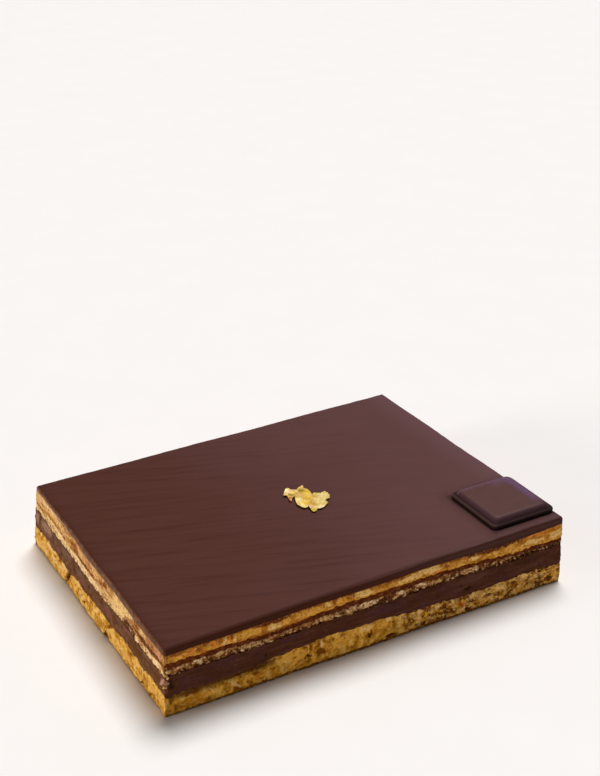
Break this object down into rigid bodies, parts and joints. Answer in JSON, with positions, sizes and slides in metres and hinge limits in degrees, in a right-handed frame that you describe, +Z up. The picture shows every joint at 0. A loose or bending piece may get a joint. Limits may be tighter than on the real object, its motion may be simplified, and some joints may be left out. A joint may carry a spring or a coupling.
{
  "type": "opera cake",
  "caption": "Low rectangular layered almond sponge cake with coffee buttercream and ganache, dark chocolate glaze, a moulded chocolate square in one corner and a scrap of gold leaf.",
  "frame": {"origin": "centre of the footprint, on the base", "axes": "+X along the long side, +Y from the front long side to the back one, +Z up; the chocolate square is at +X, -Y"},
  "size_m": [0.2024, 0.1546, 0.0379],
  "materials": {
    "bottom_sponge": "open golden almond sponge crumb, soaked, matte",
    "ganache": "dark chocolate ganache, cut face, satin",
    "middle_sponge": "coffee-soaked sponge with pale crumbs, matte",
    "coffee_buttercream": "amber coffee buttercream, cut face, soft sheen",
    "chocolate_glaze": "dark chocolate glaze, satin",
    "dark_chocolate": "tempered dark chocolate, satin gloss",
    "gold_leaf": "crumpled edible gold leaf, bright"
  },
  "bodies": {
    "root": {"bottom_sponge": "bottom_sponge", "ganache": "ganache", "middle_sponge": "middle_sponge", "thin_ganache": "ganache", "coffee_buttercream": "coffee_buttercream", "chocolate_glaze": "chocolate_glaze", "chocolate_square": "dark_chocolate", "gold_leaf": "gold_leaf"}
  },
  "joints": []
}
